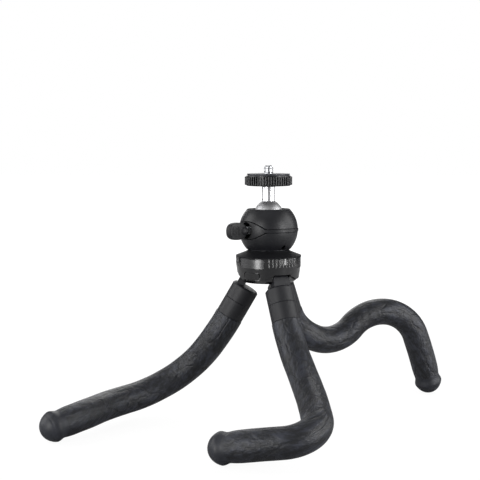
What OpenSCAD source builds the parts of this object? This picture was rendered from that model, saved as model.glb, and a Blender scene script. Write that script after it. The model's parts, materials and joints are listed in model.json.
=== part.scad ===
// Flexible leg tripod: ball head on a round base with three bendable rubber legs.
// Millimetres, +Z up. The origin is the point on the floor below the head's axis.
// +X points right and -Y points to the front. Azimuths turn from the front towards +X.

/* [Stand] */
// Height of the base's underside above the floor
stand_h = 94; // [88:1:100]
// Azimuth of the front leg, with the other legs a third of a turn to each side
front_az = 27; // [0:1:60]

/* [Base] */
// Radius of the base at its top rim
base_r = 22; // [21.5:0.25:26]
// Radius of the base where its lower chamfer starts
base_low_r = 20.6; // [20:0.2:21.4]
// Radius of the base's flat underside
base_under_r = 17; // [16:0.25:19]
// Height of the base collar
base_h = 17; // [16:0.5:20]
// Height of the chamfer at the underside
base_chamfer_h = 2.7; // [1:0.1:4]
// Height of the straight rim at the top of the collar
base_rim_h = 4; // [2:0.5:6]
// Radius of the nut chamber inside the base
chamber_r = 7.5; // [7:0.25:8]
// Thickness of the web that the head bolt clamps
web_t = 4; // [3:0.25:6]
// Height of the cone on top of the base
cone_h = 4.4; // [3:0.2:7]
// Radius of the cone's top
cone_top_r = 14; // [12:0.5:16]
// Thickness of the cover under the base
floor_t = 2; // [1.5:0.25:3]
// Radius of the cover under the base
floor_r = 11.6; // [11:0.1:12]
// Width of a side plate, as an angle
plate_angle = 50; // [30:1:54]
// Height of a side plate
plate_h = 6; // [4:0.25:8]
// Thickness of a side plate
plate_t = 1; // [0.8:0.1:1.5]
// Number of grip grooves above each leg
groove_count = 9; // [5:2:13]
// Depth of a grip groove
groove_depth = 0.45; // [0.2:0.05:0.6]

/* [Leg hinges] */
// Distance of a hinge pin from the head's axis
pin_orbit = 16; // [15.5:0.25:16.5]
// Height of a hinge pin above the base's underside
pin_h = 3; // [2.75:0.25:4]
// Radius of a hinge pin
pin_r = 1.5; // [1:0.1:1.7]
// Half length of a hinge pin
pin_half = 8; // [7.5:0.1:8.4]
// Width of the knuckle's tongue
tongue_w = 12; // [10:0.5:12.5]
// Radius of the tongue's eye
eye_r = 2.8; // [2.6:0.1:3.2]
// Distance from the pin to the knuckle's shoulder
shoulder_drop = 5.5; // [5:0.25:7]
// Distance of a folded leg's axis from the head's axis
leg_orbit = 11.8; // [11.7:0.1:12.2]

/* [Legs] */
// Radius of the rubber leg
leg_r = 9.6; // [8:0.1:9.8]
// Length of one of the five stretches of the rubber leg
stretch_l = 32; // [30:0.5:34]
// Radius of the knuckle's shoulder and the ferrule
shoulder_r = 9.3; // [8:0.1:9.6]
// Distance from the pin to the end of the knuckle
knuckle_l = 16.4; // [15:0.2:18]
// Distance from the pin to the end of the ferrule
ferrule_l = 28.5; // [26:0.5:31]
// Radius of the knuckle's spigot inside the ferrule
spigot_r = 6; // [5:0.25:7]
// Radius of the wire core
wire_r = 3; // [2:0.1:3.5]
// Most that a leg bends at the joint between two stretches
bend_limit = 30; // [20:1:32]
// Radius of the foot cap
foot_r = 10; // [9.8:0.1:11.5]
// Length of the foot cap's straight band
foot_band = 4.5; // [3:0.5:7]

/* [Head] */
// Radius of the ball housing
house_r = 19.8; // [19.4:0.1:22]
// Height of the housing's bottom face below its equator
house_drop = 13.1; // [12:0.1:14]
// Height of the housing's top face above its equator
house_rise = 13.7; // [13:0.1:14]
// Thickness of the washer under the housing
neck_t = 0.7; // [0.5:0.1:1.5]
// Radius of the washer under the housing
neck_r = 12.5; // [9:0.5:13.5]
// Half height of the clamp band
band_half = 1; // [0.8:0.1:1.4]
// Half height of the clamp band's eye round the lock screw
eye_half_h = 5.9; // [5.7:0.1:6.5]
// Half length of the clamp band's eye
eye_half_l = 15; // [12:0.5:17]
// How far the clamp band stands out of the housing
band_proud = 0.35; // [0.2:0.05:0.6]
// Radius of the ball
ball_r = 9.5; // [9:0.1:9.6]
// Height of the ball's centre above the housing's equator
ball_rise = 10.5; // [10.2:0.1:11]
// Radius of the stem
stem_r = 4.4; // [4:0.1:4.8]
// Height of the stem's top above the ball's centre
stem_top = 18.3; // [18:0.1:21]
// Radius of the cup under the ball
seat_r = 10; // [9.8:0.05:10.2]
// Depth of the cup below the housing's equator
seat_drop = 5; // [4:0.25:6]

/* [Lock ring and camera screw] */
// Radius of the lock ring
ring_r = 16; // [14:0.25:16.5]
// Height of the lock ring
ring_h = 7; // [5:0.25:9]
// Number of grip grooves round the lock ring
ring_grooves = 48; // [24:4:60]
// Radius of the rubber pad on the lock ring
pad_r = 14.3; // [11:0.25:15]
// Thickness of the rubber pad
pad_t = 1.2; // [0.8:0.1:2]
// Radius of the camera screw, a quarter inch thread
screw_r = 3.175; // [3.175, 4.7625]
// How far the camera screw stands above the pad
screw_proud = 5.5; // [4.5:0.25:6]

/* [Lock screw] */
// Azimuth of the lock screw
lock_az = -50; // [-80:1:-40]
// Radius of the lock screw's shaft
lock_r = 2.5; // [2:0.1:2.6]
// Radius of the recess round the lock screw
recess_r = 5.5; // [4.5:0.1:5.6]
// Distance of the recess's floor from the head's axis
recess_floor = 13.5; // [13.4:0.1:15]
// Length of the brake pad
brake_l = 2.4; // [1.5:0.1:2.5]
// Distance of the wing's inner end from the head's axis
wing_start = 20.6; // [20.5:0.1:22]
// Length of the wing along the screw
wing_l = 14; // [10:0.5:18]
// Height of the wing
wing_h = 11.5; // [9:0.5:13]
// Thickness of the wing
wing_t = 5; // [4:0.25:6]

/* [Fits] */
// Running clearance of pins and screws in their holes
run_gap = 0.05; // [0.03:0.01:0.08]
// Clearance between pieces that move past each other
move_gap = 0.3; // [0.25:0.05:0.4]
// Width of the seam round an inset piece
seam = 0.25; // [0.2:0.05:0.4]

/* [Hidden] */
$fn = 64;
// Extra length of a cut past the face that it opens
over = 1;
leg_names = ["left_leg", "front_leg", "rear_leg"];
stretch_count = 5;
knees = 4;
leg_bead = 0.4;
wire_bead = 0.15;
// Bend and roll in degrees of each stretch, from the ferrule to the foot.
// A roll of 0 bends the leg away from the head's axis.
left_bends = [[20, 65], [38, -55], [38, -60], [24, -95], [27, 95]];
front_bends = [[30, 15], [20, 35], [5, 100], [-100, -68], [-16, -30]];
rear_bends = [[46, 48], [67, 21], [-54, 17], [-60, 25], [-5, 75]];
leg_bends = [left_bends, front_bends, rear_bends];
leg_az = [front_az - 120, front_az, front_az + 120];

// Heights above the floor
pin_z = stand_h + pin_h;
rim_z = stand_h + base_h;
neck_z = rim_z + cone_h;
house_z = neck_z + neck_t;
equator_z = house_z + house_drop;
ball_z = equator_z + ball_rise;
ring_z = ball_z + stem_top + move_gap;
pad_z = ring_z + ring_h;
seat_z = equator_z - seat_drop;

// Base
slot_w = tongue_w + 2 * move_gap;
hinge_gap = 0.4;
slot_r = eye_r + hinge_gap;
arch_depth = 1.2;
arch_r = 21;
arch_apex = pin_h + slot_r;
plate_edge = 0.6;
plate_sink = 0.2;
plate_z = base_h - plate_h - plate_edge;
groove_arc = 58;
groove_l = 14;
groove_tilt = 3;
groove_cut_r = 0.6;
tab_w = 12.5;
tab_h = 5.5;
tab_z = 5.2;
tab_corner = 2;
tab_line = 0.5;
tab_depth = 0.35;
bolt_r = 3;
bolt_head_r = 5.4;
bolt_head_h = 3.2;
bolt_depth = 7;
base_screw_r = 1.1;
base_screw_head_r = 2;
base_screw_head_h = 1;
cross_l = 2.2;
cross_w = 0.5;
base_screw_orbit = 9.45;
base_screw_l = 7;
bolt_gap = 0.2;
washer_bore = bolt_r + bolt_gap;

// Head
socket_r = ball_r + move_gap;
seat_bore = seat_r + move_gap;
grub_r = 1.6;
grub_az = 38;
grub_l = 6;
grub_rise = 1.75;
key_r = 0.8;
key_depth = 1.2;
seat_lip = 2;
seat_hole_r = 4;
groove_w = 0.35;
groove_in = 1.2;
band_in = 7.2;
brake_start = seat_r + run_gap;
lock_start = brake_start + brake_l + run_gap;

// Legs
leg_offset = pin_orbit - leg_orbit;
ferrule_wall = 2;
spigot_end = ferrule_l - ferrule_wall;
wire_depth = 3;
wire_root = knuckle_l + wire_depth;
wire_short = 2;
wire_cap = 0.6;
bend_spare = 0.25;
joint_cut = (leg_r + leg_bead) * tan(bend_limit / 2) + bend_spare;
hollow_r = leg_r + move_gap;

function at(x, y, z) = [[1, 0, 0, x], [0, 1, 0, y], [0, 0, 1, z], [0, 0, 0, 1]];
function turn_z(a) = [[cos(a), -sin(a), 0, 0], [sin(a), cos(a), 0, 0], [0, 0, 1, 0], [0, 0, 0, 1]];
function turn_y(a) = [[cos(a), 0, sin(a), 0], [0, 1, 0, 0], [-sin(a), 0, cos(a), 0], [0, 0, 0, 1]];

// Move along a bend over a length
function along(bend, l) =
    bend == 0 ? at(0, 0, l)
    : let (a = bend * l / stretch_l, r = stretch_l * 180 / (PI * bend))
        at(r * (1 - cos(a)), 0, r * sin(a)) * turn_y(a);
// Half the length of a straight piece between two knees
function knee_half(bend) =
    bend == 0 ? stretch_l / 2 / knees
    : stretch_l * 180 / (PI * abs(bend)) * tan(abs(bend) / 2 / knees);
function stretch_move(step) = turn_z(step[1]) * along(step[0], stretch_l) * turn_z(-step[1]);

// Frame at the start of stretch k of a leg, from the pin: +Z along the leg, +X away from the head's axis
function stretch_start(leg, k) =
    k == 0 ? at(-leg_offset, 0, ferrule_l)
    : stretch_start(leg, k - 1) * stretch_move(leg_bends[leg][k - 1]);

// Spread angle at which the foot cap just meets the floor
function foot_place(leg) = stretch_start(leg, stretch_count) * [0, 0, foot_band, 1];
function spread(leg) =
    let (p = foot_place(leg))
    acos((pin_z - foot_r) / norm([p[0], p[2]])) - atan2(p[0], p[2]);

// Frame of a leg's hinge pin: +Z down the leg, +X outwards, +Y along the pin
function leg_frame(leg) =
    turn_z(leg_az[leg] - 90) * at(pin_orbit, 0, pin_z) * turn_y(180 - spread(leg)) * turn_z(180);

module around(az) {
    rotate([0, 0, az - 90]) children();
}

module round_rect(w, h, c) {
    square([w - 2 * c, h], center = true);
    square([w, h - 2 * c], center = true);
    for (x = [-1, 1], y = [-1, 1]) {
        translate([x * (w / 2 - c), y * (h / 2 - c)]) circle(c);
    }
}

// Turns a flat outline to face outwards along +X, with its own x axis to the side and y axis up
module outwards(l) {
    rotate([90, 0, 90]) linear_extrude(l) children();
}

// Turns a solid of revolution so that its axis runs outwards along +X
module along_x() {
    rotate([0, 90, 0]) children();
}

module base_outline() {
    polygon([
        [0, 0], [base_under_r, 0], [base_low_r, base_chamfer_h],
        [base_r, base_h - base_rim_h], [base_r, base_h], [0, base_h]
    ]);
}

// Room for a knuckle's tongue, with the arch that opens over it
module leg_slot() {
    translate([pin_orbit - slot_r, -slot_w / 2, -over]) cube([base_r, slot_w, pin_h + over]);
    translate([pin_orbit, 0, pin_h]) rotate([90, 0, 0]) cylinder(h = slot_w, r = slot_r, center = true);
    translate([pin_orbit, -slot_w / 2, pin_h]) cube([base_r, slot_w, slot_r]);
    translate([pin_orbit, 0, pin_h]) rotate([90, 0, 0])
        cylinder(h = 2 * (pin_half + run_gap), r = pin_r + run_gap, center = true);
    difference() {
        translate([0, 0, arch_apex - arch_r]) along_x() cylinder(h = 2 * base_r, r = arch_r, $fn = 128);
        translate([0, 0, -base_h]) cylinder(h = 3 * base_h, r = base_low_r - arch_depth);
    }
}

// Upright grooves in the rim that fade out downwards
module grip_grooves() {
    pitch = groove_arc / groove_count;
    for (i = [0:groove_count - 1]) {
        rotate([0, 0, (i - (groove_count - 1) / 2) * pitch])
            translate([base_r + groove_cut_r - groove_depth, 0, base_h - base_rim_h / 2])
                rotate([0, -groove_tilt, 0])
                    cylinder(h = groove_l, r = groove_cut_r, center = true, $fn = 24);
    }
}

// Curved strip of a side plate, grown by a gap and reaching out to a radius
module plate_strip(gap, out_r) {
    in_r = base_r - plate_sink - plate_t - gap;
    angle = plate_angle + 2 * gap * 180 / (PI * base_r);
    rotate([0, 0, -angle / 2]) rotate_extrude(angle = angle, $fn = 128)
        translate([in_r, plate_z - gap]) square([out_r - in_r, plate_h + 2 * gap]);
}

// Fine groove round the tab below a side plate
module tab_groove() {
    difference() {
        translate([0, 0, tab_z]) outwards(2 * base_r) difference() {
            round_rect(tab_w, tab_h, tab_corner);
            round_rect(tab_w - 2 * tab_line, tab_h - 2 * tab_line, tab_corner - tab_line);
        }
        translate([0, 0, -over]) cylinder(h = base_h + 2 * over, r = base_low_r - tab_depth);
    }
}

module at_base_screws() {
    for (az = leg_az) {
        around(az + 60) translate([base_screw_orbit, 0, 0]) children();
    }
}

module base_collar() {
    color("#1b1b1d") translate([0, 0, stand_h]) difference() {
        rotate_extrude($fn = 128) base_outline();
        translate([0, 0, floor_t]) cylinder(h = base_h - web_t - floor_t, r = chamber_r);
        translate([0, 0, -over]) cylinder(h = floor_t + over, r = floor_r + seam);
        cylinder(h = base_h + over, r = washer_bore);
        for (az = leg_az) {
            around(az) leg_slot();
            around(az) grip_grooves();
            around(az + 60) plate_strip(seam, base_r + over);
            around(az + 60) tab_groove();
        }
        at_base_screws() cylinder(h = base_screw_l + run_gap, r = base_screw_r + run_gap, $fn = 32);
    }
}

module base_cone() {
    lip = 0.8;
    color("#151517") translate([0, 0, rim_z]) difference() {
        rotate_extrude($fn = 128) polygon([
            [0, 0], [base_r, 0], [base_r, lip], [cone_top_r + lip, cone_h - lip],
            [cone_top_r, cone_h], [0, cone_h]
        ]);
        translate([0, 0, -over]) cylinder(h = cone_h + 2 * over, r = washer_bore);
    }
}

module side_plates() {
    color("#0d0d0f") translate([0, 0, stand_h]) for (az = leg_az) {
        around(az + 60) plate_strip(0, base_r - plate_sink);
    }
}

module base_floor() {
    color("#222225") translate([0, 0, stand_h]) difference() {
        cylinder(h = floor_t, r = floor_r);
        at_base_screws() translate([0, 0, -over]) {
            cylinder(h = floor_t + 2 * over, r = base_screw_r + run_gap, $fn = 32);
            cylinder(h = base_screw_head_h + over, r = base_screw_head_r + run_gap, $fn = 32);
        }
    }
}

module base_screws() {
    color("#8d8f93") translate([0, 0, stand_h]) at_base_screws() difference() {
        union() {
            cylinder(h = base_screw_l, r = base_screw_r, $fn = 32);
            cylinder(h = base_screw_head_h, r = base_screw_head_r, $fn = 32);
        }
        for (a = [0, 90]) {
            rotate([0, 0, a]) cube([cross_l, cross_w, base_screw_head_h], center = true);
        }
    }
}

module hinge_pins() {
    color("#a7a9ad") for (az = leg_az) {
        around(az) translate([pin_orbit, 0, pin_z]) rotate([90, 0, 0])
            cylinder(h = 2 * pin_half, r = pin_r, center = true);
    }
}

module head_bolt() {
    head_z = rim_z - web_t - bolt_head_h;
    color("#9a9ca0") union() {
        translate([0, 0, head_z]) cylinder(h = bolt_head_h, r = bolt_head_r, $fn = 6);
        translate([0, 0, head_z]) cylinder(h = house_z + bolt_depth - head_z, r = bolt_r);
    }
}

module neck_washer() {
    color("#09090a") translate([0, 0, neck_z]) difference() {
        cylinder(h = neck_t, r = neck_r);
        translate([0, 0, -over]) cylinder(h = neck_t + 2 * over, r = washer_bore);
    }
}

// Eye-shaped outline from two circles, grown by a gap
module eye_outline(gap) {
    r = (eye_half_l * eye_half_l + eye_half_h * eye_half_h) / (2 * eye_half_h);
    intersection_for (s = [-1, 1]) {
        translate([0, s * (r - eye_half_h)]) circle(r + gap, $fn = 180);
    }
}

// Everything that the lock screw, its pad and its eye take out of the housing
module lock_room() {
    translate([0, 0, equator_z]) around(lock_az) along_x() {
        cylinder(h = house_r + over, r = lock_r + run_gap);
        translate([0, 0, recess_floor]) cylinder(h = house_r, r = recess_r);
    }
}

module eye_solid(gap, depth) {
    translate([0, 0, equator_z]) around(lock_az) translate([house_r - depth, 0, 0])
        outwards(depth + band_proud + over) eye_outline(gap);
}

// Slice of the ball housing between two heights from its equator
module house_slice(low, high) {
    translate([0, 0, equator_z]) intersection() {
        sphere(house_r, $fn = 128);
        translate([0, 0, low]) cylinder(h = high - low, r = house_r + over);
    }
}

module edge_groove(low) {
    translate([0, 0, equator_z + low]) rotate_extrude($fn = 128)
        translate([house_r - groove_in, 0]) square([groove_in + over, groove_w]);
}

module lower_shell() {
    color("#161618") difference() {
        house_slice(-house_drop, -band_half);
        translate([0, 0, seat_z - move_gap]) cylinder(h = house_r, r = seat_bore);
        translate([0, 0, house_z - over])
            cylinder(h = bolt_depth + over + run_gap, r = bolt_r + run_gap);
        edge_groove(-band_half - groove_w);
        eye_solid(groove_w, band_in + groove_w);
        lock_room();
        translate([0, 0, house_z + grub_rise]) around(grub_az) along_x()
            cylinder(h = house_r, r = grub_r, $fn = 32);
    }
}

module upper_shell() {
    rim = 0.7;
    color("#18181a") difference() {
        house_slice(band_half, house_rise);
        translate([0, 0, equator_z]) cylinder(h = ball_rise, r = seat_bore);
        translate([0, 0, ball_z]) sphere(socket_r, $fn = 128);
        translate([0, 0, equator_z + house_rise - rim]) cylinder(h = rim + over, r = socket_r + rim);
        edge_groove(band_half);
        eye_solid(groove_w, band_in + groove_w);
        lock_room();
    }
}

module clamp_band() {
    skin_r = house_r + band_proud;
    color("#202023") difference() {
        union() {
            translate([0, 0, equator_z]) intersection() {
                sphere(skin_r, $fn = 128);
                translate([0, 0, -band_half]) cylinder(h = 2 * band_half, r = skin_r + over);
            }
            intersection() {
                translate([0, 0, equator_z]) sphere(skin_r, $fn = 128);
                eye_solid(0, band_in);
            }
        }
        translate([0, 0, equator_z - house_r]) cylinder(h = 2 * house_r, r = seat_bore);
        lock_room();
    }
}

module grub_screw() {
    color("#7e8084") translate([0, 0, house_z + grub_rise]) around(grub_az) along_x()
        translate([0, 0, bolt_r + move_gap]) difference() {
            cylinder(h = grub_l, r = grub_r - run_gap, $fn = 32);
            translate([0, 0, grub_l - key_depth]) cylinder(h = key_depth + over, r = key_r, $fn = 6);
        }
}

module ball_seat() {
    color("#d9d8d2") difference() {
        translate([0, 0, seat_z]) cylinder(h = seat_drop + ball_rise - seat_lip, r = seat_r);
        translate([0, 0, ball_z]) sphere(socket_r, $fn = 128);
        translate([0, 0, seat_z - over]) cylinder(h = seat_drop + ball_rise, r = seat_hole_r);
    }
}

module ball_stem() {
    color("#c4c6c9") translate([0, 0, ball_z]) difference() {
        union() {
            sphere(ball_r, $fn = 128);
            cylinder(h = stem_top, r = stem_r);
        }
        cylinder(h = stem_top + over, r = screw_r + run_gap);
    }
}

// Stud with a relief groove where its free end starts, just above the pad
module camera_screw() {
    end = 0.7;
    relief_h = 0.6;
    relief_depth = 0.5;
    relief_rise = 0.3;
    root_z = ball_z + run_gap;
    free_z = pad_z + pad_t + relief_rise;
    top_z = pad_z + pad_t + screw_proud;
    color("#b9bbbf") union() {
        translate([0, 0, root_z]) cylinder(h = free_z - relief_h - root_z, r = screw_r);
        translate([0, 0, free_z - relief_h]) cylinder(h = relief_h, r = screw_r - relief_depth);
        translate([0, 0, free_z]) cylinder(h = top_z - end - free_z, r = screw_r);
        translate([0, 0, top_z - end]) cylinder(h = end, r1 = screw_r, r2 = screw_r - end);
    }
}

module lock_ring() {
    cut_r = 0.55;
    cut_depth = 0.3;
    edge = 1.6;
    color("#141416") translate([0, 0, ring_z]) difference() {
        rotate_extrude($fn = 128) difference() {
            union() {
                translate([0, edge]) square([ring_r, ring_h - edge]);
                square([ring_r - edge, ring_h]);
                translate([ring_r - edge, edge]) circle(edge);
            }
            translate([-ring_r, -over]) square([ring_r, ring_h + 2 * over]);
        }
        translate([0, 0, -over]) cylinder(h = ring_h + 2 * over, r = screw_r + run_gap);
        for (i = [0:ring_grooves - 1]) {
            rotate([0, 0, i * 360 / ring_grooves])
                translate([ring_r + cut_r - cut_depth, 0, edge])
                    cylinder(h = ring_h, r = cut_r, $fn = 16);
        }
    }
}

module ring_pad() {
    color("#101011") translate([0, 0, pad_z]) difference() {
        cylinder(h = pad_t, r = pad_r);
        translate([0, 0, -over]) cylinder(h = pad_t + 2 * over, r = screw_r + run_gap);
    }
}

module brake_pad() {
    color("#e4e2da") translate([0, 0, equator_z]) around(lock_az) along_x()
        translate([0, 0, brake_start]) cylinder(h = brake_l, r = lock_r);
}

module lock_screw() {
    color("#b3b5b9") translate([0, 0, equator_z]) around(lock_az) along_x()
        translate([0, 0, lock_start]) cylinder(h = wing_start + wing_l / 2 - lock_start, r = lock_r);
}

module lock_wing() {
    rib_r = 0.5;
    rib_depth = 0.35;
    rib_pitch = 1.25;
    rib_count = 6;
    rib_start = 5.8;
    flat = 1.6;
    corner = (wing_h - flat) / 2;
    hub_r = 3.6;
    hub_l = 4.6;
    color("#131315") translate([0, 0, equator_z]) around(lock_az) difference() {
        union() {
            translate([wing_start + wing_l / 2, 0, 0]) rotate([90, 0, 0])
                linear_extrude(wing_t, center = true) round_rect(wing_l, wing_h, corner);
            along_x() translate([0, 0, wing_start]) cylinder(h = hub_l, r = hub_r);
        }
        along_x() cylinder(h = wing_start + wing_l / 2 + run_gap, r = lock_r + run_gap);
        for (i = [0:rib_count - 1], s = [-1, 1]) {
            translate([wing_start + rib_start + i * rib_pitch, s * (wing_t / 2 + rib_r - rib_depth), 0])
                cylinder(h = wing_h, r = rib_r, center = true, $fn = 16);
        }
    }
}

// Tongue with rounded upper corners, round the pin at the origin
module tongue() {
    corner = 4.5;
    intersection() {
        union() {
            rotate([90, 0, 0]) cylinder(h = tongue_w, r = eye_r, center = true);
            translate([-eye_r, -tongue_w / 2, 0]) cube([2 * eye_r, tongue_w, shoulder_drop + over]);
        }
        translate([-base_r, 0, shoulder_drop]) rotate([90, 0, 90]) linear_extrude(2 * base_r)
            round_rect(tongue_w, 2 * (shoulder_drop + eye_r), corner);
    }
}

module knuckle(leg) {
    edge = 1;
    color("#19191b") multmatrix(leg_frame(leg)) difference() {
        union() {
            tongue();
            translate([-leg_offset, 0, 0]) rotate_extrude($fn = 96) polygon([
                [0, shoulder_drop], [shoulder_r - edge, shoulder_drop],
                [shoulder_r, shoulder_drop + edge], [shoulder_r, knuckle_l],
                [spigot_r, knuckle_l], [spigot_r, spigot_end], [0, spigot_end]
            ]);
        }
        rotate([90, 0, 0]) cylinder(h = 2 * tongue_w, r = pin_r + run_gap, center = true);
        translate([-leg_offset, 0, wire_root - run_gap]) cylinder(h = ferrule_l, r = wire_r + run_gap);
    }
}

module ferrule(leg) {
    edge = 0.4;
    color("#1c1c1e") multmatrix(leg_frame(leg)) translate([-leg_offset, 0, 0]) difference() {
        rotate_extrude($fn = 96) polygon([
            [0, knuckle_l], [shoulder_r - edge, knuckle_l], [shoulder_r, knuckle_l + edge],
            [shoulder_r, ferrule_l - edge], [shoulder_r - edge, ferrule_l], [0, ferrule_l]
        ]);
        translate([0, 0, knuckle_l - over])
            cylinder(h = spigot_end - knuckle_l + over + run_gap, r = spigot_r + run_gap);
        translate([0, 0, knuckle_l]) cylinder(h = ferrule_l, r = wire_r + run_gap);
    }
}

// Round bar along a bent stretch: straight pieces with a low round bead at each knee.
// It starts a root's length before the stretch and ends short of the stretch's end.
module bent_bar(step, r, bead, root, short) {
    half = knee_half(step[0]);
    rotate([0, 0, step[1]]) {
        translate([0, 0, -root]) cylinder(h = root + half, r = r);
        translate([0, 0, half]) knee_chain(step[0], r, bead, half, short, 1);
    }
}

module knee_chain(bend, r, bead, half, short, k) {
    last = k == knees;
    sphere(r + bead, $fn = 96);
    rotate([0, bend / knees, 0]) {
        cylinder(h = last ? half - short : 2 * half, r = r);
        if (!last) {
            translate([0, 0, 2 * half]) knee_chain(bend, r, bead, half, short, k + 1);
        }
    }
}

// Slice of a leg that is cut away between two heights
module leg_cut(low, high) {
    translate([0, 0, low]) cylinder(h = high - low, r = leg_r + leg_bead + over);
}

// Wire core of a stretch, grown by a gap for the room it takes
module wire_bar(leg, k, gap) {
    first = k == 0;
    last = k == stretch_count - 1;
    step = leg_bends[leg][k];
    root = first ? ferrule_l - wire_root : leg_r / 2;
    difference() {
        bent_bar(step, wire_r + gap, wire_bead, root + gap, last ? wire_short - gap : 0);
        if (!last) {
            multmatrix(stretch_move(step)) sphere(hollow_r + wire_cap - gap, $fn = 96);
        }
    }
}

// Rubber of a stretch: a ball at its start sits in the hollow end of the stretch before it
module sleeve(leg, k) {
    first = k == 0;
    last = k == stretch_count - 1;
    step = leg_bends[leg][k];
    color("#242426") multmatrix(leg_frame(leg) * stretch_start(leg, k)) difference() {
        union() {
            difference() {
                bent_bar(step, leg_r, leg_bead, 0, 0);
                leg_cut(first ? -ferrule_l : -joint_cut, first ? 0 : joint_cut);
                multmatrix(stretch_move(step))
                    leg_cut(last ? 0 : -joint_cut, last ? ferrule_l : joint_cut);
            }
            if (!first) {
                sphere(leg_r, $fn = 96);
            }
        }
        if (!last) {
            multmatrix(stretch_move(step)) sphere(hollow_r, $fn = 96);
        }
        wire_bar(leg, k, run_gap);
    }
}

module wire(leg, k) {
    color("#b8babd") multmatrix(leg_frame(leg) * stretch_start(leg, k)) wire_bar(leg, k, 0);
}

module foot(leg) {
    edge = 0.8;
    color("#1e1e20") multmatrix(leg_frame(leg) * stretch_start(leg, stretch_count))
        rotate_extrude($fn = 96) intersection() {
            union() {
                polygon([
                    [0, 0], [foot_r - edge, 0], [foot_r, edge], [foot_r, foot_band], [0, foot_band]
                ]);
                translate([0, foot_band]) circle(foot_r);
            }
            square([foot_r + over, foot_band + foot_r + over]);
        }
}

base_collar();
base_cone();
side_plates();
base_floor();
base_screws();
hinge_pins();
head_bolt();
neck_washer();
lower_shell();
clamp_band();
upper_shell();
grub_screw();
ball_seat();
ball_stem();
camera_screw();
ring_pad();
lock_ring();
brake_pad();
lock_screw();
lock_wing();
for (leg = [0:2]) {
    knuckle(leg);
    ferrule(leg);
    foot(leg);
    for (k = [1:stretch_count]) {
        sleeve(leg, k - 1);
        wire(leg, k - 1);
    }
}
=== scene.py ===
"""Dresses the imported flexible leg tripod: rubber legs, ball head, base, finishes and a plain studio."""

import json
import math

import bmesh
import bpy
from mathutils import Matrix, Vector, noise


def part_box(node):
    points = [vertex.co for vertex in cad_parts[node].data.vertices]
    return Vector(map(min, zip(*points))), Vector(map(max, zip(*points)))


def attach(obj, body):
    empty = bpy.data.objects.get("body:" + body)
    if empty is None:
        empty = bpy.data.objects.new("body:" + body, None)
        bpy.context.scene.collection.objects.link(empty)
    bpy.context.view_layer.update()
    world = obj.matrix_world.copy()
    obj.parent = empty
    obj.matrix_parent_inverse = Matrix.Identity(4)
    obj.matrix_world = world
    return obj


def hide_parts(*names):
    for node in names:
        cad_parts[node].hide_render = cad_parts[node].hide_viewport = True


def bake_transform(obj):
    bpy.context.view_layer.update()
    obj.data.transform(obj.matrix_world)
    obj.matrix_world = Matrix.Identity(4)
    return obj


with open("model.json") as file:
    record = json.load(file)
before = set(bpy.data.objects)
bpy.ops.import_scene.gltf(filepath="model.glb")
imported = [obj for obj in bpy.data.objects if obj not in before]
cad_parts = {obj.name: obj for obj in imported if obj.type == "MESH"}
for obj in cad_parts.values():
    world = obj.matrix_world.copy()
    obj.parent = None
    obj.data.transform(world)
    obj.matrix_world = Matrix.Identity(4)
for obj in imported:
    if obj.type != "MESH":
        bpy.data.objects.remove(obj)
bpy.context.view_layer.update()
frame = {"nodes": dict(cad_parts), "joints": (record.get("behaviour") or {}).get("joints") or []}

bl_info = {
    "name": "Flexible leg tripod",
    "version": (1, 0, 0),
    "blender": (4, 5, 0),
    "location": "3D View > Sidebar > Tripod",
    "description": "Dresses the solids of a flexible leg tripod and sets up its studio",
    "category": "Object",
}

MM = 0.001
JOINTS = {joint["name"]: joint for joint in frame["joints"]}
LEGS = ("left_leg", "front_leg", "rear_leg")
STRETCHES = 5
RUBBER_SIDES = 80
SKIN_PITCH = 0.8 * MM  # length of the rubber between two rings of points
THREAD_DEPTH = 0.28  # share of the pitch
SCREW_ROOM = 0.05 * MM  # gap round a screw in its bore
WING_HALF_THICKNESS = 2.5 * MM
AXIS_RADIUS = 1e-7  # a lathe's point nearer to the axis than this lies on it
LATHE_SHARP = 35  # degrees between a lathe's faces that make a sharp edge

# Bend and roll in degrees of each stretch of a leg, from the ferrule to the foot, as in the solids.
LEG_BENDS = {
    "left_leg": ((20, 65), (38, -55), (38, -60), (24, -95), (27, 95)),
    "front_leg": ((30, 15), (20, 35), (5, 100), (-100, -68), (-16, -30)),
    "rear_leg": ((46, 48), (67, 21), (-54, 17), (-60, 25), (-5, 75)),
}


def length_property(name, description, default):
    return bpy.props.FloatProperty(
        name=name, description=description, default=default, min=0, precision=5, unit="LENGTH"
    )


def colour_property(name, description, default):
    return bpy.props.FloatVectorProperty(
        name=name, description=description, default=default, min=0, max=1, subtype="COLOR"
    )


class TripodLegSizes(bpy.types.PropertyGroup):
    """Sizes of the rubber legs and feet"""

    rubber_radius: length_property("Rubber radius", "Radius of the rubber leg", 9.6 * MM)
    stretch_length: length_property("Stretch", "Length of one of the five stretches", 32 * MM)
    ferrule_length: length_property("Ferrule end", "Distance from the pin to the rubber", 28.5 * MM)
    leg_offset: length_property("Offset", "Distance of the leg's axis inside its pin", 4.2 * MM)
    foot_radius: length_property("Foot radius", "Radius of the foot cap", 10 * MM)
    foot_band: length_property("Foot band", "Length of the foot cap's straight band", 4.5 * MM)
    swell: length_property("Swell", "Height of the slow unevenness of the rubber", 0.12 * MM)


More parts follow.
